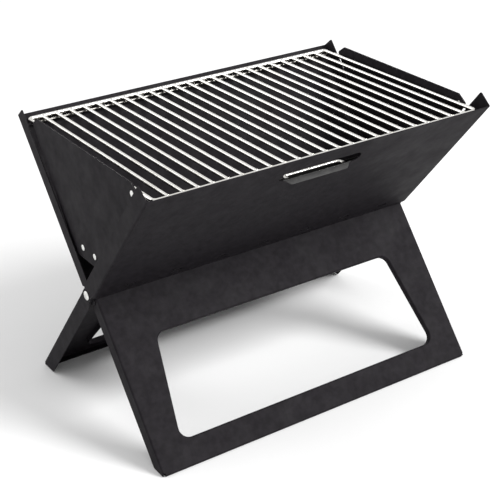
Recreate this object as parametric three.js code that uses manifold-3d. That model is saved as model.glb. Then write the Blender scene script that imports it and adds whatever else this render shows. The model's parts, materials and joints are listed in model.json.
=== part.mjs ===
// Folding camp grill: two crossing sheet-steel members on one pivot line, a lift-out tray with
// two end plates, and a loose wire cooking grate. Millimetres, +Z up, standing on z = 0.
// X runs along the pivot line, -Y is the front.
import * as THREE from 'three';
import { mergeVertices } from 'three/addons/utils/BufferGeometryUtils.js';
import Module from 'manifold-3d';

const wasm = await Module();
wasm.setup();

// ---- driving dimensions ----
const slopeDeg = 50.5;            // every wall and leg leans this far up from the ground
const slope = THREE.MathUtils.degToRad(slopeDeg);
const pivotHeight = 165;
const sheet = 1.2;                // steel thickness
const gap = 0.3;                  // clearance between neighbouring pieces
const frontReach = 230;           // pivot line to the top edge of the front wall, along the slope
const legReach = 240;             // long enough to be cut flat by the ground

// outer face of each bent sheet, measured square to the arm from the pivot line
const frontWallOffset = 10.5;
const rearLegOffset = 10.5;
const rearWallOffset = 13.5;
const frontLegOffset = 9;
// how far each side flange runs past the pivot line
const frontWallFlange = 10.5;
const rearLegFlange = 10.5;
const rearWallFlange = 4.5;
const frontLegFlange = 8.5;
// outer half length of each bent sheet: the four flanges lie side by side at the pivot
const frontWallHalf = 225;
const rearLegHalf = frontWallHalf - sheet - gap;
const washerThick = 0.8;
const rearWallHalf = rearLegHalf - sheet - gap - washerThick - gap;
const frontLegHalf = rearWallHalf - sheet - gap;
const tongueReach = 15;           // each flange laps this far past the pivot
const tongueHalf = 8.5;
// the rear wall is a little shorter, so that both top edges stand out equally far
const rearReach = frontReach + (frontWallOffset - rearWallOffset) * Math.tan(slope);
// where the outer faces of a wall and the leg under it cross, along each arm
const cornerGap = 0.4;
const cornerReach = (own, other) =>
  ((own + other) * Math.cos(slope)) / (2 * Math.sin(slope))
  + ((own - other) * Math.sin(slope)) / (2 * Math.cos(slope)) + cornerGap;

// leg windows: trapezoids with round corners and a return flange
const windowTop = 66;
const windowBottom = 188;
const windowCorner = 12;
const windowReturn = 6;
const frontWindow = { topHalf: 166, bottomHalf: 184 };
const rearWindow = { topHalf: 158, bottomHalf: 176 };
const footLip = 10;

// hand slot, its lip, the wire loop behind it and the row of air vents in the front wall
const slotTop = 24;
const slotHeight = 18;
const slotHalf = 54;
const slotCorner = 8.5;
const lipOut = 6;
const loopHalf = 38;
const loopReach = 7;
const loopRadius = 1.75;
const loopBelowSlot = 2;
const ventCount = 7;
const ventPitch = 60;
const ventReach = 21;
const ventLength = 14;
const ventHeight = 4;

// pivot rivets
const rivetRadius = 3;
const rivetHole = 3.3;
const rivetHead = 5.5;
const rivetHeadThick = 1.8;
const domeTop = 0.7;              // a head's flat top, as a share of its radius
const domeRim = 0.4;              // a head's straight rim, as a share of its thickness

// tray
const trayHalf = 211.5;
const trayHalfDepth = 38.9;
const trayBottom = 199;
const trayHeight = 20;
const trayHoles = { columns: 15, rows: 4, pitchX: 26, pitchY: 17, radius: 3.5 };

// end plates
const plateOuter = frontLegHalf - sheet - 2 * gap;
const plateInner = plateOuter - sheet;
const plateBottom = 203.6;
const plateTop = 340.7;
const plateShoulder = 331.7;
const plateTopFront = -110;
const plateTopRear = 107.5;
const plateShoulderFront = -123;
const plateShoulderRear = 120.5;
const plateBottomHalf = 36;
const hookRivetY = 14;
const hookRivetZ = 217.2;
const studY = -111.5;             // one stud near the front top corner of each plate
const studZ = 328.5;
const smallHole = 2.3;
const smallShaft = 2;
const smallHead = 3.6;
const smallHeadThick = 1;
const smallDomeTop = 0.75;
const smallPlay = 0.25;           // a small rivet head stands this far off the plate
const hookHalf = 24;
const hookBottom = 211;
const hookTop = 223;
const hookInner = 209.9;
const hookTipRise = 1;            // the hook's inner leg is this much shorter than its outer leg

// cooking grate: it rests on both walls, a little lower at the rear
const grateHeight = 331;          // front rod
const grateFront = -145.2;
const grateDepth = 289.5;         // front rod to rear rod
const grateDrop = 3.3;            // rear rod below the front rod
const grateHalf = 212;
const frameRadius = 2.5;
const frameCorner = 5;
const wireRadius = 2.25;
const wireCount = 23;
const wirePitch = 17.7;
const supportRadius = 1.5;
const supportInset = 5;

// sizes of the cutting solids, larger than anything they cut
const cutDepth = 40;
const overrun = 1;
const groundBlock = { halfLength: 300, halfWidth: 400, depth: 200 };

// ---- materials ----
const blackPaint = new THREE.MeshStandardMaterial({ color: 0x2c2a2c, roughness: 0.6, metalness: 0.2 });
const chromeWire = new THREE.MeshStandardMaterial({ color: 0xd8d8d6, roughness: 0.2, metalness: 1 });
const brightSteel = new THREE.MeshStandardMaterial({ color: 0xb9b8b4, roughness: 0.35, metalness: 1 });

// ---- solids ----
function solid(geometry) {
  const plain = geometry.clone();
  plain.deleteAttribute('normal');
  plain.deleteAttribute('uv');
  const merged = mergeVertices(plain, 1e-4);
  return new wasm.Manifold(new wasm.Mesh({
    numProp: 3,
    vertProperties: new Float32Array(merged.attributes.position.array),
    triVerts: new Uint32Array(merged.index.array),
  }));
}

function geometryOf(manifold) {
  const result = manifold.getMesh();
  const geometry = new THREE.BufferGeometry();
  geometry.setAttribute('position', new THREE.BufferAttribute(result.vertProperties, 3));
  geometry.setIndex(new THREE.BufferAttribute(result.triVerts, 1));
  return geometry;
}

function block(x0, x1, y0, y1, z0, z1) {
  const geometry = new THREE.BoxGeometry(Math.abs(x1 - x0), Math.abs(y1 - y0), Math.abs(z1 - z0));
  return geometry.translate((x0 + x1) / 2, (y0 + y1) / 2, (z0 + z1) / 2);
}

const joined = (geometries) => geometries.map(solid).reduce((all, next) => all.add(next));

// a cylinder along X
function barX(radius, x0, x1, y, z, sides = 20) {
  const geometry = new THREE.CylinderGeometry(radius, radius, Math.abs(x1 - x0), sides);
  return geometry.rotateZ(Math.PI / 2).translate((x0 + x1) / 2, y, z);
}

// a flat outline in X and Z, given thickness in Y from y0 to y1
function slab(outline, y0, y1) {
  const settings = { depth: y1 - y0, bevelEnabled: false, curveSegments: 5 };
  const geometry = new THREE.ExtrudeGeometry(outline, settings);
  return geometry.rotateX(Math.PI / 2).translate(0, y1, 0);
}

// an outline through corner points, each rounded with the same radius
function roundedOutline(corners, radius) {
  const shape = new THREE.Shape();
  const count = corners.length;
  for (let i = 0; i < count; i += 1) {
    const corner = new THREE.Vector2(...corners[i]);
    const before = new THREE.Vector2(...corners[(i + count - 1) % count]);
    const after = new THREE.Vector2(...corners[(i + 1) % count]);
    const toBefore = before.sub(corner).normalize();
    const toAfter = after.sub(corner).normalize();
    const halfAngle = Math.acos(toBefore.dot(toAfter)) / 2;
    const setback = radius / Math.tan(halfAngle);
    const start = corner.clone().addScaledVector(toBefore, setback);
    const end = corner.clone().addScaledVector(toAfter, setback);
    if (i === 0) shape.moveTo(start.x, start.y);
    else shape.lineTo(start.x, start.y);
    shape.quadraticCurveTo(corner.x, corner.y, end.x, end.y);
  }
  shape.closePath();
  return shape;
}

const grill = new THREE.Group();
grill.name = 'folding_camp_grill';

function addPiece(parent, name, geometry, material) {
  const mesh = new THREE.Mesh(geometry, material);
  mesh.name = name;
  parent.add(mesh);
  return mesh;
}

// ---- arms ----
// In an arm's own frame +Z runs away from the pivot line along the arm. The sheet lies on the
// side given by `side` (-1 or +1 along Y), and the ground cut is made in that frame too.
function armGroup(turnDeg) {
  const group = new THREE.Group();
  group.position.set(0, 0, pivotHeight);
  group.rotation.x = THREE.MathUtils.degToRad(turnDeg);
  grill.add(group);
  return group;
}

const turns = {
  frontWall: 90 - slopeDeg,
  rearWall: -(90 - slopeDeg),
  frontLeg: 90 + slopeDeg,
  rearLeg: -(90 + slopeDeg),
};

// a sheet with a flange turned in at each end, lapping past the pivot as a narrower tongue
function bentSheet({ half, side, offset, flange, start, reach, tongueFree = tongueHalf }) {
  const outer = side * offset;
  const inner = side * (offset - sheet);
  const free = -side * flange;
  const parts = [block(-half, half, outer, inner, start, reach)];
  for (const end of [-1, 1]) {
    const x0 = end * half;
    const x1 = end * (half - sheet);
    parts.push(block(x0, x1, outer, free, start, reach));
    parts.push(block(x0, x1, side * tongueHalf, -side * tongueFree, -tongueReach, start + sheet));
  }
  let body = joined(parts);
  for (const end of [-1, 1]) {
    const hole = barX(rivetHole, end * (half + overrun), end * (half - sheet - overrun), 0, 0);
    body = body.subtract(solid(hole));
  }
  return body;
}

// everything below the ground, in the frame of an arm turned by turnDeg
function belowGround(turnDeg) {
  const { halfLength, halfWidth, depth } = groundBlock;
  const geometry = block(-halfLength, halfLength, -halfWidth, halfWidth, -depth, 0);
  geometry.translate(0, 0, -pivotHeight);
  geometry.rotateX(-THREE.MathUtils.degToRad(turnDeg));
  return solid(geometry);
}

// a lip along the foot of a leg, flat on the ground and turned in under the leg
function groundLip(turnDeg, half, offset, frontSign) {
  const footReach = (pivotHeight + offset * Math.cos(slope)) / Math.sin(slope);
  const outerY = frontSign * (footReach * Math.cos(slope) + offset * Math.sin(slope));
  const geometry = block(-half, half, outerY, outerY - frontSign * footLip, 0, sheet);
  geometry.translate(0, 0, -pivotHeight);
  geometry.rotateX(-THREE.MathUtils.degToRad(turnDeg));
  return solid(geometry);
}

function windowCorners({ topHalf, bottomHalf }, grow = 0) {
  const lean = (bottomHalf - topHalf) / (windowBottom - windowTop);
  const top = windowTop - grow;
  const bottom = windowBottom + grow;
  const halfAt = (s) => topHalf + lean * (s - windowTop) + grow;
  return [[-halfAt(top), top], [halfAt(top), top], [halfAt(bottom), bottom], [-halfAt(bottom), bottom]];
}

function leg({ half, side, offset, flange, other, window, turnDeg, frontSign, tongueFree }) {
  const start = cornerReach(offset, other);
  const outer = side * offset;
  const deep = side * (offset - sheet - windowReturn);
  let body = bentSheet({ half, side, offset, flange, start, reach: legReach, tongueFree });
  const collar = roundedOutline(windowCorners(window, sheet), windowCorner + sheet);
  body = body.add(solid(slab(collar, Math.min(outer, deep), Math.max(outer, deep))));
  body = body.subtract(solid(slab(roundedOutline(windowCorners(window), windowCorner), -cutDepth, cutDepth)));
  body = body.add(groundLip(turnDeg, half, offset, frontSign));
  return body.subtract(belowGround(turnDeg));
}

function frontWall() {
  const side = -1;
  const start = cornerReach(frontWallOffset, frontLegOffset);
  let body = bentSheet({
    half: frontWallHalf, side, offset: frontWallOffset, flange: frontWallFlange, start, reach: frontReach,
  });
  const slotHigh = frontReach - slotTop;
  const slotLow = slotHigh - slotHeight;
  const slotCorners = [
    [-slotHalf, slotLow], [slotHalf, slotLow], [slotHalf, slotHigh], [-slotHalf, slotHigh],
  ];
  body = body.subtract(solid(slab(roundedOutline(slotCorners, slotCorner), -cutDepth, 0)));
  const lipHalf = slotHalf - slotHeight / 2;
  const outer = side * frontWallOffset;
  body = body.add(solid(block(-lipHalf, lipHalf, outer + sheet, outer - lipOut, slotLow - sheet, slotLow)));
  for (let i = 0; i < ventCount; i += 1) {
    const x = (i - (ventCount - 1) / 2) * ventPitch;
    body = body.subtract(solid(block(
      x - ventLength / 2, x + ventLength / 2, -cutDepth, 0,
      ventReach - ventHeight / 2, ventReach + ventHeight / 2,
    )));
  }
  return body;
}

const armA = { wall: armGroup(turns.frontWall), leg: armGroup(turns.rearLeg) };
const armB = { wall: armGroup(turns.rearWall), leg: armGroup(turns.frontLeg) };

addPiece(armA.wall, 'front_wall', geometryOf(frontWall()), blackPaint);
addPiece(armA.leg, 'rear_leg_frame', geometryOf(leg({
  half: rearLegHalf, side: -1, offset: rearLegOffset, flange: rearLegFlange, other: rearWallOffset,
  window: rearWindow, turnDeg: turns.rearLeg, frontSign: 1,
})), blackPaint);
addPiece(armB.wall, 'rear_wall', geometryOf(bentSheet({
  half: rearWallHalf, side: 1, offset: rearWallOffset, flange: rearWallFlange,
  start: cornerReach(rearWallOffset, rearLegOffset), reach: rearReach, tongueFree: rearWallFlange,
})), blackPaint);
addPiece(armB.leg, 'front_leg_frame', geometryOf(leg({
  half: frontLegHalf, side: 1, offset: frontLegOffset, flange: frontLegFlange, other: frontWallOffset,
  window: frontWindow, turnDeg: turns.frontLeg, frontSign: -1, tongueFree: tongueHalf,
})), blackPaint);

// wire loop behind the hand slot: two legs square to the wall's lower slot edge and a grip wire
const wallInnerY = (z, offset) => (z - pivotHeight) / Math.tan(slope) + (offset - sheet) / Math.sin(slope);
const loopHeight = pivotHeight + (frontReach - slotTop - slotHeight - loopBelowSlot) * Math.sin(slope)
  - (frontWallOffset - sheet) * Math.cos(slope);
const loopWallY = -wallInnerY(loopHeight, frontWallOffset) + 2 * gap + loopRadius;
function roundWire(points, radius, sides, steps) {
  const path = new THREE.CurvePath();
  const bend = radius * 3;
  let last = points[0].clone();
  for (let i = 1; i < points.length; i += 1) {
    const here = points[i];
    if (i === points.length - 1) {
      path.add(new THREE.LineCurve3(last, here));
      break;
    }
    const inward = here.clone().sub(last).normalize();
    const outward = points[i + 1].clone().sub(here).normalize();
    const arcStart = here.clone().addScaledVector(inward, -bend);
    const arcEnd = here.clone().addScaledVector(outward, bend);
    path.add(new THREE.LineCurve3(last, arcStart));
    path.add(new THREE.QuadraticBezierCurve3(arcStart, here, arcEnd));
    last = arcEnd;
  }
  const section = new THREE.Shape();
  section.absarc(0, 0, radius, 0, Math.PI * 2);
  return new THREE.ExtrudeGeometry(section, { steps, extrudePath: path, curveSegments: sides / 2 });
}
const loopPoints = [
  new THREE.Vector3(-loopHalf, loopWallY, loopHeight),
  new THREE.Vector3(-loopHalf, loopWallY + loopReach, loopHeight),
  new THREE.Vector3(loopHalf, loopWallY + loopReach, loopHeight),
  new THREE.Vector3(loopHalf, loopWallY, loopHeight),
];
addPiece(grill, 'slot_wire_loop', roundWire(loopPoints, loopRadius, 10, 40), chromeWire);

// pivot rivets: a shaft through the four flanges with a low head at each end
const headInside = frontLegHalf - sheet - gap;
const headOutside = frontWallHalf + gap;
for (const [name, end] of [['left', -1], ['right', 1]]) {
  const profile = [
    [0, headInside - rivetHeadThick], [rivetHead * domeTop, headInside - rivetHeadThick],
    [rivetHead, headInside - rivetHeadThick * domeRim], [rivetHead, headInside], [rivetRadius, headInside],
    [rivetRadius, headOutside], [rivetHead, headOutside], [rivetHead, headOutside + rivetHeadThick * domeRim],
    [rivetHead * domeTop, headOutside + rivetHeadThick], [0, headOutside + rivetHeadThick],
  ].map(([r, x]) => new THREE.Vector2(r, x));
  const rivet = new THREE.LatheGeometry(profile, 24).rotateZ(-end * Math.PI / 2).translate(0, 0, pivotHeight);
  addPiece(grill, `pivot_rivet_${name}`, rivet, brightSteel);
  const washerOut = end * (rearLegHalf - sheet - gap);
  const washerIn = washerOut - end * washerThick;
  const washer = solid(barX(rivetHead, washerIn, washerOut, 0, pivotHeight, 24))
    .subtract(solid(barX(rivetHole, washerIn - overrun, washerOut + overrun, 0, pivotHeight)));
  addPiece(grill, `pivot_washer_${name}`, geometryOf(washer), brightSteel);
}

// ---- tray with end plates ----
function tray() {
  const trayTop = trayBottom + trayHeight;
  let body = solid(block(-trayHalf, trayHalf, -trayHalfDepth, trayHalfDepth, trayBottom, trayTop));
  const inX = trayHalf - sheet;
  const inY = trayHalfDepth - sheet;
  body = body.subtract(solid(block(-inX, inX, -inY, inY, trayBottom + sheet, trayTop + overrun)));
  for (let column = 0; column < trayHoles.columns; column += 1) {
    for (let row = 0; row < trayHoles.rows; row += 1) {
      const { radius } = trayHoles;
      const hole = new THREE.CylinderGeometry(radius, radius, 4 * sheet, 10).rotateX(Math.PI / 2);
      hole.translate(
        (column - (trayHoles.columns - 1) / 2) * trayHoles.pitchX,
        (row - (trayHoles.rows - 1) / 2) * trayHoles.pitchY,
        trayBottom,
      );
      body = body.subtract(solid(hole));
    }
  }
  return body;
}
addPiece(grill, 'charcoal_tray', geometryOf(tray()), blackPaint);

// an outline in Y and Z, given thickness in X
function plateSlab(corners, x0, x1) {
  const shape = new THREE.Shape(corners.map(([y, z]) => new THREE.Vector2(y, z)));
  const geometry = new THREE.ExtrudeGeometry(shape, { depth: Math.abs(x1 - x0), bevelEnabled: false });
  return geometry.rotateX(Math.PI / 2).rotateZ(Math.PI / 2).translate(Math.min(x0, x1), 0, 0);
}

const plateCorners = [
  [-plateBottomHalf, plateBottom], [plateBottomHalf, plateBottom], [plateShoulderRear, plateShoulder],
  [plateTopRear, plateTop], [plateTopFront, plateTop], [plateShoulderFront, plateShoulder],
];
const hookSpots = [-hookRivetY, hookRivetY].map((y) => [y, hookRivetZ]);

function drilled(body, spots, x0, x1) {
  return spots.reduce((all, [y, z]) => all.subtract(solid(barX(smallHole, x0, x1, y, z, 14))), body);
}

function smallRivet(end, y, z, xIn, xOut) {
  const profile = [
    [0, xIn - smallHeadThick], [smallHead * smallDomeTop, xIn - smallHeadThick],
    [smallHead, xIn], [smallShaft, xIn], [smallShaft, xOut], [smallHead, xOut],
    [smallHead * smallDomeTop, xOut + smallHeadThick], [0, xOut + smallHeadThick],
  ].map(([r, x]) => new THREE.Vector2(r, x));
  return new THREE.LatheGeometry(profile, 14).rotateZ(-end * Math.PI / 2).translate(0, y, z);
}

for (const [name, end] of [['left', -1], ['right', 1]]) {
  const xOut = end * plateOuter;
  const xIn = end * plateInner;
  const plate = drilled(solid(plateSlab(plateCorners, xIn, xOut)), [...hookSpots, [studY, studZ]],
    xIn - end * overrun, xOut + end * overrun);
  addPiece(grill, `end_plate_${name}`, geometryOf(plate), blackPaint);

  const hookOut = plateInner - gap;
  const hookX = (value) => end * value;
  const hook = joined([
    block(hookX(hookOut), hookX(hookOut - sheet), -hookHalf, hookHalf, hookBottom, hookTop),
    block(hookX(hookOut), hookX(hookInner - sheet), -hookHalf, hookHalf, hookTop - sheet, hookTop),
    block(hookX(hookInner), hookX(hookInner - sheet), -hookHalf, hookHalf, hookBottom + hookTipRise, hookTop),
  ]);
  const drilledHook = drilled(hook, hookSpots, hookX(hookOut + overrun), hookX(hookOut - sheet - overrun));
  addPiece(grill, `tray_hook_${name}`, geometryOf(drilledHook), blackPaint);

  hookSpots.forEach(([y, z], i) => addPiece(grill, `hook_rivet_${name}_${i + 1}`,
    smallRivet(end, y, z, hookOut - sheet - gap, plateOuter + smallPlay), brightSteel));
  const stud = smallRivet(end, studY, studZ, plateInner - gap, plateOuter + smallPlay);
  addPiece(grill, `plate_stud_${name}`, stud, brightSteel);
}

// ---- cooking grate ----
// Its own frame has Y from the front rod to the rear rod and Z = 0 through the rods' middle.
const grate = new THREE.Group();
grate.position.set(0, grateFront, grateHeight);
grate.rotation.x = -Math.asin(grateDrop / grateDepth);
grill.add(grate);

function grateFrame() {
  const ring = (grow) => roundedOutline([
    [-grateHalf - grow, -grow], [grateHalf + grow, -grow],
    [grateHalf + grow, grateDepth + grow], [-grateHalf - grow, grateDepth + grow],
  ], frameCorner + grow);
  const sides = 10;
  const layers = [];
  const outlinePoints = (grow) => ring(grow).getPoints(4);
  const count = outlinePoints(0).length - 1;
  for (let k = 0; k < sides; k += 1) {
    const angle = (k / sides) * Math.PI * 2;
    const points = outlinePoints(frameRadius * Math.cos(angle)).slice(0, count);
    layers.push(points.map((p) => [p.x, p.y, frameRadius * Math.sin(angle)]));
  }
  const geometry = new THREE.BufferGeometry();
  geometry.setAttribute('position', new THREE.Float32BufferAttribute(layers.flat(2), 3));
  const index = [];
  for (let k = 0; k < sides; k += 1) {
    const next = (k + 1) % sides;
    for (let i = 0; i < count; i += 1) {
      const j = (i + 1) % count;
      index.push(k * count + i, k * count + j, next * count + j);
      index.push(k * count + i, next * count + j, next * count + i);
    }
  }
  geometry.setIndex(index);
  return geometry;
}
addPiece(grate, 'grate_frame', grateFrame(), chromeWire);

const crossStart = frameRadius + gap;
const crossEnd = grateDepth - frameRadius - gap;
for (let i = 0; i < wireCount; i += 1) {
  const wire = new THREE.CylinderGeometry(wireRadius, wireRadius, crossEnd - crossStart, 10);
  const x = (i - (wireCount - 1) / 2) * wirePitch;
  const mesh = addPiece(grate, `grate_wire_${String(i + 1).padStart(2, '0')}`, wire, chromeWire);
  mesh.position.set(x, (crossStart + crossEnd) / 2, 0);
}

const supportHeight = -wireRadius - gap - supportRadius;
const supportHalf = grateHalf - frameRadius - gap;
for (const [name, y] of [['front', supportInset], ['rear', grateDepth - supportInset]]) {
  const support = barX(supportRadius, -supportHalf, supportHalf, y, supportHeight, 10);
  addPiece(grate, `grate_support_${name}`, support, chromeWire);
}

export default grill;
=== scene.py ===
# Looks for the folding camp grill: bent and painted sheet steel, chromed wire, plated rivets.
# Lengths in this file are millimetres; meshes are scaled to metres as they are made.
import json
import math

import bmesh
import bpy
from mathutils import Matrix, Vector


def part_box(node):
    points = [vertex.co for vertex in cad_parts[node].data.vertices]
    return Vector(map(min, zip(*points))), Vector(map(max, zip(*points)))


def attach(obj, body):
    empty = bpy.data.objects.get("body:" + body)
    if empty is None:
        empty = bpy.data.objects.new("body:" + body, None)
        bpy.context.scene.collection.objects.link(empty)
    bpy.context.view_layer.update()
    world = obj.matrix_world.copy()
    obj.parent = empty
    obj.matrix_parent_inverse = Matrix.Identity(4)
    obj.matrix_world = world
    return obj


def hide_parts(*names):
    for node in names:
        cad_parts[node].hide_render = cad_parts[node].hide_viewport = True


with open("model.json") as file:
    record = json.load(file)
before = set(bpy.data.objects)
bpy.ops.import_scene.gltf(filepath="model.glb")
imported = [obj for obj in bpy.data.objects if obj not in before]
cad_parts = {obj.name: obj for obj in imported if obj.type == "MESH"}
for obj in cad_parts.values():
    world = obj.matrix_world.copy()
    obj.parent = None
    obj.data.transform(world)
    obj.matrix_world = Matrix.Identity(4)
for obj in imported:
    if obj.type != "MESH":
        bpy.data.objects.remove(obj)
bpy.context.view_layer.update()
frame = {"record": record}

MM = 0.001
QUARTER = math.pi / 2

# ---- what the frame says ----
BODY_OF = {}
for body_name, members in frame["record"]["behaviour"]["bodies"].items():
    for member in members:
        BODY_OF[member] = body_name


def box(node):
    """A CAD node's lowest and highest corner, in millimetres."""
    low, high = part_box(node)
    return low / MM, high / MM


def middle(node):
    low, high = box(node)
    return (low + high) / 2


PIVOT_Z = middle("pivot_washer_left").z

# ---- driving dimensions of the bent sheets ----
SLOPE = math.radians(50.5)      # every wall and leg leans this far up from the ground
SHEET = 1.2
BEND = 1.6                      # radius of every bend, at the middle of the sheet
BEND_STEPS = 4
EDGE_BEVEL = 0.25
EDGE_SEGMENTS = 2
SHARP_ANGLE = math.radians(40)  # steeper edges are worn or stay crisp
SHEET_CORNER = 2                # radius of the outer corners of the flat sheets
TONGUE_HALF = 8.5               # the flange laps past the pivot as a tongue
TONGUE_REACH = 13
TONGUE_ROUND = 0.49             # radius of its end corners, as a share of its width
STEP_BEFORE = 6                 # a wider flange narrows to its tongue from here
STEP_AFTER = 1                  # to here, either side of where wall and leg cross
RIVET_HOLE = 3.3
RELIEF = 1.2                    # small notch where two bends meet
PAST_BEND = BEND + 0.4          # depth of a cut edge that clears the bend
CORNER_GAP = 0.4

# outer face from the pivot line, flange past the pivot line, tongue past the pivot line
FRONT_WALL = {"offset": 10.5, "flange": 10.5, "tongue": 8.5}
REAR_LEG = {"offset": 10.5, "flange": 10.5, "tongue": 8.5}
REAR_WALL = {"offset": 13.5, "flange": 4.5, "tongue": 4.5}
FRONT_LEG = {"offset": 9.0, "flange": 8.5, "tongue": 8.5}
FRONT_REACH = 230
REAR_REACH = FRONT_REACH + (FRONT_WALL["offset"] - REAR_WALL["offset"]) * math.tan(SLOPE)

# ---- leg windows ----
FRONT_WINDOW = (166, 184)       # half its length at the top and at the bottom
REAR_WINDOW = (158, 176)
WINDOW_TOP = 66
WINDOW_BOTTOM = 188
WINDOW_CORNER = 12
WINDOW_RETURN = 6
FOOT_LIP = 10
FOOT_CORNER = 1
FOOT_TURN = math.pi - SLOPE

# ---- front wall openings ----
SLOT_TOP = 24
SLOT_HEIGHT = 18
SLOT_HALF = 54
SLOT_CORNER = 8.5
SLOT_LIP_OUT = 6
SLOT_LIP_HALF = 45
SLOT_LIP_TAPER = 9
SLOT_LIP_LEAST = 0.03           # share of the lip's reach that is left at its two ends
SLOT_LIP_STEPS = 24
SLOT_MARGIN = 1.5               # a frame of narrow faces keeps the wall around the slot flat
VENTS = {"count": 7, "pitch": 60, "reach": 21, "length": 14, "height": 4, "round": 0.95}

# ---- end plates ----
PLATE_BOTTOM_HALF = 36
PLATE_SHOULDER_DROP = 9
PLATE_SHOULDER_STEP = 13
PLATE_CORNER = 3
PLATE_EDGE = 0.45               # the plates' edges are rubbed bare where they slide in and out, and their bright metal is also a painted highlight along the top edge
SMALL_HOLE = 2.3
SMALL_SIDES = 16

# ---- tray and its hooks ----
TRAY_CORNER = 4
TRAY_HOLES = {"columns": 15, "rows": 4, "pitch": 26, "row_pitch": 17, "radius": 3.5}
HOOK_SHORTER = 1                # the hook's free leg, against its riveted leg

# ---- rivets and washers ----
PIVOT_RIVET = {"shaft": 3, "head_thick": 1.8}
SMALL_RIVET = {"shaft": 2, "head_thick": 1}
RIVET_RIM = 0.25                # share of a head's height that is its upright rim
WASHER_CHAMFER = 0.15

# ---- wires ----
ROD_RADIUS = 2.5                # the grate's frame is heavier wire than its cross wires
ROD_CORNER = 5
WIRE_SHARP_ANGLE = math.radians(50)
# how a welded wire end swells: (distance from the end, extra radius)
WELD = [(0, 0.6), (0.8, 0.5), (1.5, 0.3), (2.4, 0.1), (3.4, 0)]
WELD_BITE = 1.3                 # the visible wire runs this far into the rod it is welded to
# how a support wire swells under a cross wire: (distance from the crossing, extra radius)
CROSSING_WELD = [(-2.4, 0), (-1.2, 0.12), (0, 0.25), (1.2, 0.12), (2.4, 0)]
LOOP_CORNER = 4.5
LOOP_BITE = 1.1                 # the slot loop's legs run this far into the wall
LOOP_SWELL = 1.5                # and swell to this many times their radius


# ---- flat shapes ----
def rounded(corners, steps=5):
    """A flat outline from (a, b, radius) corners. A radius of 0 keeps the corner sharp."""
    points = []
    for i, (a, b, radius) in enumerate(corners):
        here = Vector((a, b))
        if radius == 0:
            points.append(here)
            continue
        back = (Vector(corners[i - 1][:2]) - here).normalized()
        ahead = (Vector(corners[(i + 1) % len(corners)][:2]) - here).normalized()
        half = back.angle(ahead) / 2
        centre = here + (back + ahead).normalized() * (radius / math.sin(half))
        first = here + back * (radius / math.tan(half)) - centre
        last = here + ahead * (radius / math.tan(half)) - centre
        begin = math.atan2(first.y, first.x)
        sweep = math.atan2(last.y, last.x) - begin
        sweep = (sweep + math.pi) % (2 * math.pi) - math.pi
        for k in range(steps + 1):
            angle = begin + sweep * k / steps
            points.append(centre + Vector((math.cos(angle), math.sin(angle))) * radius)
    return points


def circle(a, b, radius, sides=24):
    angles = [2 * math.pi * k / sides for k in range(sides)]
    return [Vector((a + radius * math.cos(t), b + radius * math.sin(t))) for t in angles]


def mirrored(corners):
    """Right-hand corners, then the same corners on the left in the opposite order."""
    return corners + [(-a, b, radius) for a, b, radius in reversed(corners)]


def flat_sheet(outline, holes):
    """A flat face with holes in a new bmesh, and the vertices of each hole."""
    bm = bmesh.new()
    loops = []
    for points in [outline, *holes]:
        verts = [bm.verts.new((a, b, 0)) for a, b in points]
        for i, vert in enumerate(verts):
            bm.edges.new((verts[i - 1], vert))
        loops.append(verts)
    bmesh.ops.triangle_fill(bm, use_beauty=True, edges=bm.edges[:])
    return bm, loops[1:]


def cut(bm, axis, place):
    """A straight line of vertices across the whole sheet."""
    normal = Vector((0, 0, 0))
    normal[axis] = 1
    everything = bm.verts[:] + bm.edges[:] + bm.faces[:]
    bmesh.ops.bisect_plane(bm, geom=everything, plane_co=normal * place, plane_no=normal)


def score(bm, axis, start, turn):
    """Cuts the sheet into narrow strips where it will be bent, so that the bend is round."""
    for k in range(BEND_STEPS + 1):
        cut(bm, axis, start + math.copysign(BEND * turn * k / BEND_STEPS, start))


def fold(length, bends):
    """Where a point at `length` on a bent strip lies: (along, depth). Each bend is (start, turn)."""
    along = depth = heading = at = 0.0
    for start, turn in bends:
        if length <= start:
            break
        along += (start - at) * math.cos(heading)
        depth += (start - at) * math.sin(heading)
        angle = min((length - start) / BEND, turn)
        along += BEND * (math.sin(heading + angle) - math.sin(heading))
        depth += BEND * (math.cos(heading) - math.cos(heading + angle))
        heading += angle
        at = start + BEND * angle
    return along + (length - at) * math.cos(heading), depth + (length - at) * math.sin(heading)


def add_strip(bm, first, second, closed=True, material=0):
    count = len(first)
    for i in range(count if closed else count - 1):
        j = (i + 1) % count
        face = bm.faces.new((first[i], first[j], second[j], second[i]))
        face.material_index = material


# ---- pieces ----
def piece(node, bm, matrix, materials):
    """A finished mesh that stands for a CAD node and moves with its body."""
    bm.transform(Matrix.Scale(MM, 4) @ matrix)
    bmesh.ops.recalc_face_normals(bm, faces=bm.faces[:])
    mesh = bpy.data.meshes.new(node + "_finished")
    bm.to_mesh(mesh)
    bm.free()
    for material in materials:
        mesh.materials.append(material)
    mesh.shade_smooth()
    thing = bpy.data.objects.new(node + "_finished", mesh)
    bpy.context.scene.collection.objects.link(thing)
    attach(thing, BODY_OF[node])
    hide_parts(node)
    return thing


def sheet_piece(node, bm, matrix, materials, edge=EDGE_BEVEL):
    """A sheet-metal piece: the mesh is the middle of the sheet, and its edges are slightly worn; on
    the end plates their bright bare metal is also a painted highlight.
    """
    thing = piece(node, bm, matrix, materials)
    thick = thing.modifiers.new("thickness", "SOLIDIFY")
    thick.thickness = SHEET * MM
    thick.offset = 0
    thick.use_even_offset = True
    bevel = thing.modifiers.new("worn_and_highlight_edges", "BEVEL")
    bevel.width = edge * MM
    bevel.segments = EDGE_SEGMENTS
    bevel.limit_method = "ANGLE"
    bevel.angle_limit = SHARP_ANGLE
    bevel.material = 1
    shading = thing.modifiers.new("even_shading", "WEIGHTED_NORMAL")
    shading.weight = 100
    return thing


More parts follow.
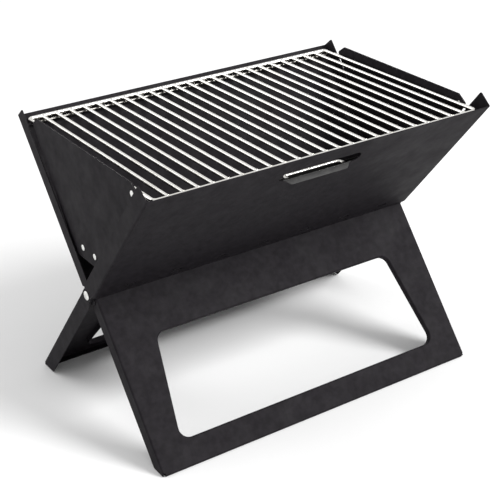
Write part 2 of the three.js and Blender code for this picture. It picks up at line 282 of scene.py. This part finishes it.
def arm_matrix(turn, side, offset):
    """From (along X, depth under the sheet, distance from the pivot line) to the standing grill."""
    return (
        Matrix.Translation((0, 0, PIVOT_Z))
        @ Matrix.Rotation(turn, 4, "X")
        @ Matrix.Translation((0, side * (offset - SHEET / 2), 0))
        @ Matrix.Diagonal((1, -side, 1, 1))
    )


def corner_reach(own, other):
    """Distance from the pivot line to where the outer faces of a wall and its leg cross."""
    share = (own + other) * math.cos(SLOPE) / (2 * math.sin(SLOPE))
    return share + (own - other) * math.sin(SLOPE) / (2 * math.cos(SLOPE)) + CORNER_GAP


class Arm:
    """The flat pattern of a wall or leg with a flange turned in at each end."""

    def __init__(self, node, sizes, other):
        self.node = node
        self.sizes = sizes
        self.half = box(node)[1].x
        self.flat = self.half - SHEET / 2 - BEND
        self.start = corner_reach(sizes["offset"], other["offset"])

    def width_at(self, depth):
        """Developed half width where the flange is `depth` under the sheet."""
        return self.flat + BEND * QUARTER + depth - BEND

    def depth_of(self, beyond):
        """Depth of a line that runs `beyond` the pivot line."""
        return self.sizes["offset"] - SHEET / 2 + beyond

    def tongue_corners(self):
        free = self.width_at(self.depth_of(self.sizes["flange"]))
        tip = self.width_at(self.depth_of(self.sizes["tongue"]))
        near = self.width_at(max(PAST_BEND, self.depth_of(-TONGUE_HALF)))
        radius = TONGUE_ROUND * (tip - near)
        corners = [
            (tip, -TONGUE_REACH, radius),
            (near, -TONGUE_REACH, radius),
            (near, self.start + RELIEF, 0),
            (self.flat - RELIEF, self.start + RELIEF, 0),
            (self.flat - RELIEF, self.start, 0),
        ]
        if free > tip:
            wide_end = (free, self.start + STEP_BEFORE, SHEET_CORNER)
            narrow_start = (tip, self.start - STEP_AFTER, SHEET_CORNER)
            corners = [wide_end, narrow_start] + corners
        return corners

    def rivet_holes(self):
        width = self.width_at(self.depth_of(0))
        return [circle(-width, 0, RIVET_HOLE), circle(width, 0, RIVET_HOLE)]

    def bend_up(self, bm, foot_start=None):
        """Turns the flat pattern into (along X, depth, distance from the pivot line)."""
        for end in (-1, 1):
            score(bm, 0, end * self.flat, QUARTER)
        if foot_start is not None:
            score(bm, 1, foot_start, FOOT_TURN)
        for vert in bm.verts:
            across, along, _ = vert.co
            depth = 0
            if abs(across) > self.flat:
                folded, depth = fold(abs(across), [(self.flat, QUARTER)])
                across = math.copysign(folded, across)
            elif foot_start is not None:
                along, depth = fold(along, [(foot_start, FOOT_TURN)])
            vert.co = (across, depth, along)


def wall_outline(arm, reach):
    free = arm.width_at(arm.depth_of(arm.sizes["flange"]))
    return rounded(mirrored([(free, reach, SHEET_CORNER)] + arm.tongue_corners()))


def window_points(top_half, bottom_half, grow):
    lean = (bottom_half - top_half) / (WINDOW_BOTTOM - WINDOW_TOP)
    top = WINDOW_TOP - grow
    bottom = WINDOW_BOTTOM + grow
    radius = WINDOW_CORNER + grow
    at_top = top_half - lean * grow + grow
    at_bottom = bottom_half + lean * grow + grow
    return rounded(mirrored([(at_bottom, bottom, radius), (at_top, top, radius)]), steps=8)


def return_flange(bm, loop, outline_at, depth_end):
    """Turns the edge of a hole in by a quarter bend and a short straight wall."""
    last = loop
    for k in range(1, BEND_STEPS + 2):
        angle = QUARTER * min(k, BEND_STEPS) / BEND_STEPS
        depth = BEND * (1 - math.cos(angle)) if k <= BEND_STEPS else depth_end
        grow = SHEET / 2 + BEND * (1 - math.sin(angle))
        ring = [bm.verts.new((a, depth, b)) for a, b in outline_at(grow)]
        add_strip(bm, last, ring)
        last = ring


def leg(node, sizes, other, turn, side, window, materials):
    arm = Arm(node, sizes, other)
    offset = sizes["offset"] - SHEET / 2
    foot_start = PIVOT_Z + offset * math.cos(SLOPE) - SHEET / 2 - BEND * (1 + math.cos(SLOPE))
    foot_start /= math.sin(SLOPE)
    setback = (SHEET / 2 + BEND) / math.tan(SLOPE / 2)
    lip_end = foot_start + BEND * FOOT_TURN + FOOT_LIP - setback / 2

    def ground_reach(depth):
        level = PIVOT_Z + (offset - depth) * math.cos(SLOPE)
        return level / math.sin(SLOPE) - SHEET

    free_depth = arm.depth_of(sizes["flange"])
    foot_corners = [
        (arm.flat - RELIEF, lip_end, SHEET_CORNER),
        (arm.flat - RELIEF, foot_start - RELIEF, 0),
        (arm.width_at(PAST_BEND), foot_start - RELIEF, 0),
        (arm.width_at(PAST_BEND), ground_reach(PAST_BEND), 0),
        (arm.width_at(free_depth), ground_reach(free_depth), FOOT_CORNER),
    ]
    outline = rounded(mirrored(foot_corners + arm.tongue_corners()))

    def outline_at(grow):
        return window_points(*window, grow)

    bm, loops = flat_sheet(outline, [outline_at(SHEET / 2 + BEND), *arm.rivet_holes()])
    arm.bend_up(bm, foot_start)
    return_flange(bm, loops[0], outline_at, WINDOW_RETURN + SHEET / 2)
    return sheet_piece(node, bm, arm_matrix(turn, side, sizes["offset"]), materials)


def slot_lip_columns():
    """Places along the lower slot edge, with how far the lip is turned out at each (0 to 1)."""
    columns = []
    for k in range(-SLOT_LIP_STEPS, SLOT_LIP_STEPS + 1):
        x = SLOT_LIP_HALF * k / SLOT_LIP_STEPS
        rise = min(1, (SLOT_LIP_HALF - abs(x)) / SLOT_LIP_TAPER + SLOT_LIP_LEAST)
        columns.append((x, rise * rise * (3 - 2 * rise)))
    return columns


def front_wall(materials):
    arm = Arm("front_wall", FRONT_WALL, FRONT_LEG)
    slot_high = FRONT_REACH - SLOT_TOP
    slot_low = slot_high - SLOT_HEIGHT
    base = SHEET / 2 + BEND
    lip = slot_lip_columns()
    lip_edge = [Vector((x, slot_low - base * share)) for x, share in lip]
    left = rounded([
        (0, slot_high, 0), (-SLOT_HALF, slot_high, SLOT_CORNER),
        (-SLOT_HALF, slot_low, SLOT_CORNER), (0, slot_low, 0),
    ])[1:-1]
    right = [Vector((-a, b)) for a, b in reversed(left)]
    slot = left + lip_edge + right
    vents = []
    for k in range(VENTS["count"]):
        x = (k - (VENTS["count"] - 1) / 2) * VENTS["pitch"]
        half = VENTS["length"] / 2
        rise = VENTS["height"] / 2
        corners = [
            (x + across * half, VENTS["reach"] + along * rise, VENTS["round"] * rise)
            for across, along in ((-1, -1), (1, -1), (1, 1), (-1, 1))
        ]
        vents.append(rounded(corners))
    outline = wall_outline(arm, FRONT_REACH)
    bm, loops = flat_sheet(outline, [slot, *vents, *arm.rivet_holes()])
    for edge in (slot_high + SLOT_MARGIN, slot_low - base - SLOT_MARGIN):
        cut(bm, 1, edge)
    for edge in (-SLOT_HALF - SLOT_MARGIN, SLOT_HALF + SLOT_MARGIN):
        cut(bm, 0, edge)
    arm.bend_up(bm)
    # the turned-out lip takes the lighter paint: rubbed paint, and a painted highlight along its
    # bend
    last = loops[0][len(left):len(left) + len(lip)]
    for k in range(1, BEND_STEPS + 2):
        angle = QUARTER * min(k, BEND_STEPS) / BEND_STEPS
        out = BEND * (1 - math.cos(angle)) if k <= BEND_STEPS else SLOT_LIP_OUT + SHEET / 2
        drop = SHEET / 2 + BEND * (1 - math.sin(angle))
        row = [bm.verts.new((x, -out * share, slot_low - drop * share)) for x, share in lip]
        add_strip(bm, last, row, closed=False, material=1)
        last = row
    matrix = arm_matrix(QUARTER - SLOPE, -1, FRONT_WALL["offset"])
    return sheet_piece("front_wall", bm, matrix, materials)


def rear_wall(materials):
    arm = Arm("rear_wall", REAR_WALL, REAR_LEG)
    bm, _ = flat_sheet(wall_outline(arm, REAR_REACH), arm.rivet_holes())
    arm.bend_up(bm)
    matrix = arm_matrix(SLOPE - QUARTER, 1, REAR_WALL["offset"])
    return sheet_piece("rear_wall", bm, matrix, materials)


def end_plate(name, materials):
    """A flat plate in the plane of Y and Z with rivet holes."""
    node = f"end_plate_{name}"
    low, high = box(node)
    shoulder = high.z - PLATE_SHOULDER_DROP
    corners = [
        (-PLATE_BOTTOM_HALF, low.z, PLATE_CORNER),
        (PLATE_BOTTOM_HALF, low.z, PLATE_CORNER),
        (high.y, shoulder, PLATE_CORNER),
        (high.y - PLATE_SHOULDER_STEP, high.z, PLATE_CORNER),
        (low.y + PLATE_SHOULDER_STEP, high.z, PLATE_CORNER),
        (low.y, shoulder, PLATE_CORNER),
    ]
    holes = []
    for fastener in (f"hook_rivet_{name}_1", f"hook_rivet_{name}_2", f"plate_stud_{name}"):
        centre = middle(fastener)
        holes.append(circle(centre.y, centre.z, SMALL_HOLE, SMALL_SIDES))
    bm, _ = flat_sheet(rounded(corners), holes)
    matrix = Matrix.Translation((middle(node).x, 0, 0)) @ Matrix.Rotation(QUARTER, 4, "Z")
    matrix = matrix @ Matrix.Rotation(QUARTER, 4, "X")
    return sheet_piece(node, bm, matrix, materials, PLATE_EDGE)


def tray_hook(name, end, materials):
    """A strip bent over twice, riveted inside the end plate, that the tray's end hangs in."""
    node = f"tray_hook_{name}"
    low, high = box(node)
    outer = end * (high.x if end > 0 else low.x) - SHEET / 2
    inner = end * (low.x if end > 0 else high.x) + SHEET / 2
    rise = high.z - SHEET / 2 - BEND - low.z
    across = outer - inner - 2 * BEND
    bends = [(rise, QUARTER), (rise + BEND * QUARTER + across, QUARTER)]
    length = 2 * rise + 2 * BEND * QUARTER + across - HOOK_SHORTER
    outline = rounded(mirrored([(high.y, 0, SHEET_CORNER), (high.y, length, SHEET_CORNER)]))
    rivets = [middle(f"hook_rivet_{name}_{number}") for number in (1, 2)]
    holes = [circle(spot.y, spot.z - low.z, SMALL_HOLE, SMALL_SIDES) for spot in rivets]
    bm, _ = flat_sheet(outline, holes)
    for start, turn in bends:
        score(bm, 1, start, turn)
    for vert in bm.verts:
        y, along, _ = vert.co
        up, inward = fold(along, bends)
        vert.co = (end * (outer - inward), y, low.z + up)
    return sheet_piece(node, bm, Matrix.Identity(4), materials)


def charcoal_tray(materials):
    """A pressed pan with round corners and rows of air holes in its floor."""
    node = "charcoal_tray"
    low, high = box(node)
    holes = []
    for column in range(TRAY_HOLES["columns"]):
        for row in range(TRAY_HOLES["rows"]):
            a = (column - (TRAY_HOLES["columns"] - 1) / 2) * TRAY_HOLES["pitch"]
            b = (row - (TRAY_HOLES["rows"] - 1) / 2) * TRAY_HOLES["row_pitch"]
            holes.append(circle(a, b, TRAY_HOLES["radius"], SMALL_SIDES))

    def outline_at(grow):
        a = high.x - SHEET / 2 - BEND + grow
        b = high.y - SHEET / 2 - BEND + grow
        radius = TRAY_CORNER + grow
        return rounded(mirrored([(a, -b, radius), (a, b, radius)]))

    outline = outline_at(0)
    bm, _ = flat_sheet(outline, holes)
    bm.verts.ensure_lookup_table()
    last = bm.verts[:len(outline)]
    floor_z = low.z + SHEET / 2
    for k in range(1, BEND_STEPS + 2):
        angle = QUARTER * min(k, BEND_STEPS) / BEND_STEPS
        rise = BEND * (1 - math.cos(angle)) if k <= BEND_STEPS else high.z - floor_z
        ring = [bm.verts.new((a, b, rise)) for a, b in outline_at(BEND * math.sin(angle))]
        add_strip(bm, last, ring)
        last = ring
    return sheet_piece(node, bm, Matrix.Translation((0, 0, floor_z)), materials)


# ---- turned pieces ----
def turned(node, profile, closed, materials, sides=32):
    """A piece turned about an axis along X through the CAD node's middle: (radius, x) points."""
    centre = middle(node)
    bm = bmesh.new()
    rings = []
    for radius, x in profile:
        if radius == 0:
            rings.append([bm.verts.new((x, centre.y, centre.z))])
            continue
        ring = circle(centre.y, centre.z, radius, sides)
        rings.append([bm.verts.new((x, y, z)) for y, z in ring])
    pairs = list(zip(rings, rings[1:]))
    if closed:
        pairs.append((rings[-1], rings[0]))
    for first, second in pairs:
        if len(first) == 1 or len(second) == 1:
            tip, ring = (first, second) if len(first) == 1 else (second, first)
            for i in range(sides):
                bm.faces.new((tip[0], ring[i], ring[(i + 1) % sides]))
        else:
            add_strip(bm, first, second)
    thing = piece(node, bm, Matrix.Identity(4), materials)
    thing.data.set_sharp_from_angle(angle=SHARP_ANGLE)
    return thing


def dome(radius, seat, top, steps=7):
    """Half the profile of a rivet head: from the middle of its top down to its rim at the seat."""
    points = []
    for k in range(steps + 1):
        angle = QUARTER * k / steps
        height = (1 - RIVET_RIM) * math.cos(angle) + RIVET_RIM
        points.append((radius * math.sin(angle), seat + (top - seat) * height))
    points.append((radius, seat))
    return points


def rivet(node, shaft, head_thick, materials):
    low, high = box(node)
    radius = (high.z - low.z) / 2
    left = dome(radius, low.x + head_thick, low.x)
    right = dome(radius, high.x - head_thick, high.x)
    profile = left + [(shaft, low.x + head_thick), (shaft, high.x - head_thick)]
    return turned(node, profile + list(reversed(right)), False, materials)


def washer(node, materials):
    low, high = box(node)
    radius = (high.z - low.z) / 2
    flat = radius - WASHER_CHAMFER
    profile = [
        (RIVET_HOLE, low.x), (flat, low.x), (radius, low.x + WASHER_CHAMFER),
        (radius, high.x - WASHER_CHAMFER), (flat, high.x), (RIVET_HOLE, high.x),
    ]
    return turned(node, profile, True, materials)


# ---- wires ----
def wire(node, stations, closed, materials, sides=16):
    """A round wire through (point, radius) stations. Its path is flat, so +Z is always across it."""
    bm = bmesh.new()
    rings = []
    count = len(stations)
    for i, (point, radius) in enumerate(stations):
        before = stations[i - 1 if closed or i > 0 else 0][0]
        after = stations[(i + 1) % count if closed or i < count - 1 else i][0]
        forward = (after - before).normalized()
        across = forward.cross(Vector((0, 0, 1))).normalized()
        up = across.cross(forward)
        ring = []
        for k in range(sides):
            angle = 2 * math.pi * k / sides
            offset = across * math.cos(angle) + up * math.sin(angle)
            ring.append(bm.verts.new(point + offset * radius))
        rings.append(ring)
    for first, second in zip(rings, rings[1:]):
        add_strip(bm, first, second)
    if closed:
        add_strip(bm, rings[-1], rings[0])
    else:
        bm.faces.new(rings[0])
        bm.faces.new(rings[-1])
    thing = piece(node, bm, Matrix.Identity(4), materials)
    thing.data.set_sharp_from_angle(angle=WIRE_SHARP_ANGLE)
    return thing


def grate_level(y):
    """Height of the rods' middle: the grate rests a little lower at the rear."""
    low, high = box("grate_frame")
    share = (y - low.y - ROD_RADIUS) / (high.y - low.y - 2 * ROD_RADIUS)
    front = high.z - ROD_RADIUS
    rear = low.z + ROD_RADIUS
    return front + (rear - front) * share


def grate_frame(materials):
    low, high = box("grate_frame")
    left = low.x + ROD_RADIUS
    right = high.x - ROD_RADIUS
    front = low.y + ROD_RADIUS
    rear = high.y - ROD_RADIUS
    corners = [
        (left, front, ROD_CORNER), (right, front, ROD_CORNER),
        (right, rear, ROD_CORNER), (left, rear, ROD_CORNER),
    ]
    stations = [(Vector((a, b, grate_level(b))), ROD_RADIUS) for a, b in rounded(corners, 8)]
    return wire("grate_frame", stations, True, materials)


def cross_wire(node, materials):
    low, high = box(node)
    radius = (high.x - low.x) / 2
    start = low.y - WELD_BITE
    end = high.y + WELD_BITE
    near = [(start + step, radius + extra) for step, extra in WELD]
    far = [(end - step, radius + extra) for step, extra in reversed(WELD)]
    x = middle(node).x
    stations = [(Vector((x, y, grate_level(y))), r) for y, r in near + far]
    return wire(node, stations, False, materials)


def support_wire(node, crossings, materials):
    """The wire under the cross wires, with a small weld where it meets each of them."""
    low, high = box(node)
    centre = middle(node)
    radius = (high.z - low.z) / 2
    stations = [(low.x - WELD_BITE, radius)]
    for x in crossings:
        for step, extra in CROSSING_WELD:
            stations.append((x + step, radius + extra))
    stations.append((high.x + WELD_BITE, radius))
    points = [(Vector((x, centre.y, centre.z)), r) for x, r in stations]
    return wire(node, points, False, materials)


def slot_loop(materials):
    """The bright wire loop behind the hand slot, welded to the wall by its two legs."""
    node = "slot_wire_loop"
    low, high = box(node)
    radius = (high.z - low.z) / 2
    z = middle(node).z
    back = high.y - radius
    front = low.y - LOOP_BITE
    left = low.x + radius
    right = high.x - radius
    corners = [
        (left, front, 0), (left, back, LOOP_CORNER),
        (right, back, LOOP_CORNER), (right, front, 0),
    ]
    stations = [(Vector((a, b, z)), radius) for a, b in rounded(corners, 8)]
    for end in (0, -1):
        stations[end] = (stations[end][0], radius * LOOP_SWELL)
    return wire(node, stations, False, materials)


# ---- materials ----
# each noise is (waves per metre, detail), and heights are in metres
PAINT = {"cloud": (130, 8), "gloss": (38, 5), "grain": (750, 3), "grain_height": 0.0001}
PLATING = {"cloud": (60, 3), "gloss": (240, 4), "wave": (320, 2), "wave_height": 0.00006}
GLOSS_BAND = (0.3, 0.7)         # noise values between which gloss varies
TONE_BAND = (0.35, 0.65)        # and between which the tone does
FLOOR = {"mottle": (3, 2), "lighter": 1.01, "specular": 0.1}


def new_material(name):
    material = bpy.data.materials.new(name)
    material.use_nodes = True
    tree = material.node_tree
    shader = next(n for n in tree.nodes if n.type == "BSDF_PRINCIPLED")
    place = tree.nodes.new("ShaderNodeTexCoord").outputs["Object"]
    return material, tree, shader, place


def noise(tree, place, scale, detail):
    node = tree.nodes.new("ShaderNodeTexNoise")
    node.inputs["Scale"].default_value = scale
    node.inputs["Detail"].default_value = detail
    tree.links.new(place, node.inputs["Vector"])
    return node.outputs["Fac"]


def between(tree, value, low, high):
    """A noise value stretched to run from low to high."""
    node = tree.nodes.new("ShaderNodeMapRange")
    node.inputs["From Min"].default_value = GLOSS_BAND[0]
    node.inputs["From Max"].default_value = GLOSS_BAND[1]
    node.inputs["To Min"].default_value = low
    node.inputs["To Max"].default_value = high
    tree.links.new(value, node.inputs["Value"])
    return node.outputs["Result"]


def two_tone(tree, value, dark, light):
    node = tree.nodes.new("ShaderNodeValToRGB")
    for stop, position, colour in zip(node.color_ramp.elements, TONE_BAND, (dark, light)):
        stop.position = position
        stop.color = (*colour, 1)
    tree.links.new(value, node.inputs["Fac"])
    return node.outputs["Color"]


def bump(tree, height, strength, distance):
    node = tree.nodes.new("ShaderNodeBump")
    node.inputs["Strength"].default_value = strength
    node.inputs["Distance"].default_value = distance
    tree.links.new(height, node.inputs["Height"])
    return node.outputs["Normal"]


def powder_coat(name, dark, light, rough, specular, grain):
    """Satin powder coat: cloudy tone, uneven gloss and a fine orange-peel grain."""
    material, tree, shader, place = new_material(name)
    cloud = noise(tree, place, *PAINT["cloud"])
    gloss = noise(tree, place, *PAINT["gloss"])
    peel = noise(tree, place, *PAINT["grain"])
    tree.links.new(two_tone(tree, cloud, dark, light), shader.inputs["Base Color"])
    tree.links.new(between(tree, gloss, *rough), shader.inputs["Roughness"])
    tree.links.new(bump(tree, peel, grain, PAINT["grain_height"]), shader.inputs["Normal"])
    shader.inputs["Specular IOR Level"].default_value = specular
    return material


def plated(name, dark, light, rough, waviness):
    """Plated metal: bright, with slightly uneven gloss and drawn or pressed waviness."""
    material, tree, shader, place = new_material(name)
    cloud = noise(tree, place, *PLATING["cloud"])
    gloss = noise(tree, place, *PLATING["gloss"])
    wave = noise(tree, place, *PLATING["wave"])
    tree.links.new(two_tone(tree, cloud, dark, light), shader.inputs["Base Color"])
    tree.links.new(between(tree, gloss, *rough), shader.inputs["Roughness"])
    tree.links.new(bump(tree, wave, waviness, PLATING["wave_height"]), shader.inputs["Normal"])
    shader.inputs["Metallic"].default_value = 1
    return material


def plain_surface(name, colour, rough):
    """The studio floor: one pale tone with very faint mottling."""
    material, tree, shader, place = new_material(name)
    light = [min(1, part * FLOOR["lighter"]) for part in colour]
    mottle = noise(tree, place, *FLOOR["mottle"])
    tree.links.new(two_tone(tree, mottle, colour, light), shader.inputs["Base Color"])
    shader.inputs["Roughness"].default_value = rough
    shader.inputs["Specular IOR Level"].default_value = FLOOR["specular"]
    return material


# ---- studio: floor and lights in metres, camera in millimetres ----
FLOOR_RADIUS = 7
SKY_STRENGTH = 0.9
LIGHTS = {
    "key": {"place": (2.16, -2.56, 3.1), "size": 2.0, "power": 200},
    "fill": {"place": (-2.2, 2.6, 2.6), "size": 2.4, "power": 35},
}
LIGHT_AIM = (0, 0, 0.15)
VIEW = {"azimuth": -33.241, "elevation": 26.843, "roll": -1.13}     # degrees
VIEW_TARGET = (-5.6, 0, 157.2)
VIEW_DISTANCE = 1511.4
LENS = 90.18
SENSOR = 36
CLIP = (0.05, 50)               # metres


def studio_floor():
    bm = bmesh.new()
    bmesh.ops.create_circle(bm, cap_ends=True, segments=96, radius=FLOOR_RADIUS)
    mesh = bpy.data.meshes.new("studio_floor")
    bm.to_mesh(mesh)
    bm.free()
    mesh.materials.append(plain_surface("pale_floor", (0.76, 0.76, 0.76), 0.9))
    floor = bpy.data.objects.new("studio_floor", mesh)
    bpy.context.scene.collection.objects.link(floor)


def area_light(name, place, size, power):
    light = bpy.data.lights.new(name, "AREA")
    light.shape = "DISK"
    light.size = size
    light.energy = power
    lamp = bpy.data.objects.new(name, light)
    bpy.context.scene.collection.objects.link(lamp)
    lamp.location = place
    aim = Vector(LIGHT_AIM) - Vector(place)
    lamp.rotation_euler = aim.to_track_quat("-Z", "Y").to_euler()


def studio_light():
    world = bpy.data.worlds.new("studio")
    world.use_nodes = True
    sky = world.node_tree.nodes["Background"]
    sky.inputs["Color"].default_value = (1, 1, 1, 1)
    sky.inputs["Strength"].default_value = SKY_STRENGTH
    bpy.context.scene.world = world
    for name, light in LIGHTS.items():
        area_light(name, **light)
    bpy.context.scene.view_settings.view_transform = "Standard"


def studio_camera():
    azimuth = math.radians(VIEW["azimuth"])
    elevation = math.radians(VIEW["elevation"])
    roll = math.radians(VIEW["roll"])
    target = Vector(VIEW_TARGET) * MM
    back = Vector((
        math.sin(azimuth) * math.cos(elevation),
        -math.cos(azimuth) * math.cos(elevation),
        math.sin(elevation),
    ))
    right = Vector((math.cos(azimuth), math.sin(azimuth), 0))
    up = back.cross(right)
    tilted_right = right * math.cos(roll) + up * math.sin(roll)
    tilted_up = up * math.cos(roll) - right * math.sin(roll)
    turn = Matrix((tilted_right, tilted_up, back)).transposed().to_4x4()
    data = bpy.data.cameras.new("camera")
    data.sensor_width = SENSOR
    data.lens = LENS
    data.clip_start, data.clip_end = CLIP
    camera = bpy.data.objects.new("camera", data)
    bpy.context.scene.collection.objects.link(camera)
    place = target + back * (VIEW_DISTANCE * MM)
    camera.matrix_world = Matrix.Translation(place) @ turn
    bpy.context.scene.camera = camera


studio_camera()
studio_floor()
studio_light()

black = powder_coat(
    "black_paint", dark=(0.0082, 0.0070, 0.0086), light=(0.0136, 0.0118, 0.0142),
    rough=(0.56, 0.70), specular=0.09, grain=0.40,
)
# lighter, glossier paint: wear on the sheets' edges; on the slot lip it is rubbed paint and also a
# painted highlight along the lip's bend
worn_and_highlight_black = powder_coat(
    "worn_and_highlight_black_paint", dark=(0.018, 0.0175, 0.018), light=(0.036, 0.035, 0.034),
    rough=(0.34, 0.46), specular=0.4, grain=0.2,
)
inner_black = powder_coat(
    "inner_black_paint", dark=(0.0070, 0.0068, 0.0066), light=(0.0100, 0.0096, 0.0092),
    rough=(0.58, 0.72), specular=0.25, grain=0.45,
)
# bright bare metal on the end plates' edges: rubbed paint, and a painted highlight along their top
# edge
bare_edge_and_highlight = plated(
    "rubbed_edge_and_highlight", dark=(0.55, 0.54, 0.52), light=(0.72, 0.71, 0.69),
    rough=(0.32, 0.45), waviness=0.3,
)
chrome = plated(
    "chrome_wire", dark=(0.78, 0.76, 0.72), light=(0.86, 0.85, 0.82),
    rough=(0.10, 0.20), waviness=0.15,
)
# the support wires' plating is painted darker as painted shade: they lie in shadow under the cross
# wires
chrome_with_painted_shade = plated(
    "chrome_wire_with_painted_shade", dark=(0.20, 0.195, 0.185), light=(0.32, 0.31, 0.29),
    rough=(0.26, 0.38), waviness=0.2,
)
zinc = plated(
    "bright_steel", dark=(0.70, 0.70, 0.68), light=(0.80, 0.80, 0.78),
    rough=(0.22, 0.36), waviness=0.3,
)
outer_paint = [black, worn_and_highlight_black]
inner_paint = [inner_black, worn_and_highlight_black]
plate_paint = [black, bare_edge_and_highlight]

front_wall(outer_paint)
rear_wall(outer_paint)
leg("front_leg_frame", FRONT_LEG, FRONT_WALL, QUARTER + SLOPE, 1, FRONT_WINDOW, outer_paint)
leg("rear_leg_frame", REAR_LEG, REAR_WALL, -QUARTER - SLOPE, -1, REAR_WINDOW, outer_paint)
charcoal_tray(inner_paint)
for side_name, side_end in (("left", -1), ("right", 1)):
    end_plate(side_name, plate_paint)
    tray_hook(side_name, side_end, inner_paint)
    rivet(f"pivot_rivet_{side_name}", **PIVOT_RIVET, materials=[zinc])
    washer(f"pivot_washer_{side_name}", [zinc])
    rivet(f"plate_stud_{side_name}", **SMALL_RIVET, materials=[zinc])
    for rivet_number in (1, 2):
        rivet(f"hook_rivet_{side_name}_{rivet_number}", **SMALL_RIVET, materials=[zinc])

grate_frame([chrome])
cross_nodes = sorted(node for node in BODY_OF if node.startswith("grate_wire"))
for cross_node in cross_nodes:
    cross_wire(cross_node, [chrome])
crossings = [middle(node).x for node in cross_nodes]
# the support wires take the darkened plating, painted shade under the cross wires
for support_node in ("grate_support_front", "grate_support_rear"):
    support_wire(support_node, crossings, [chrome_with_painted_shade])
slot_loop([chrome])
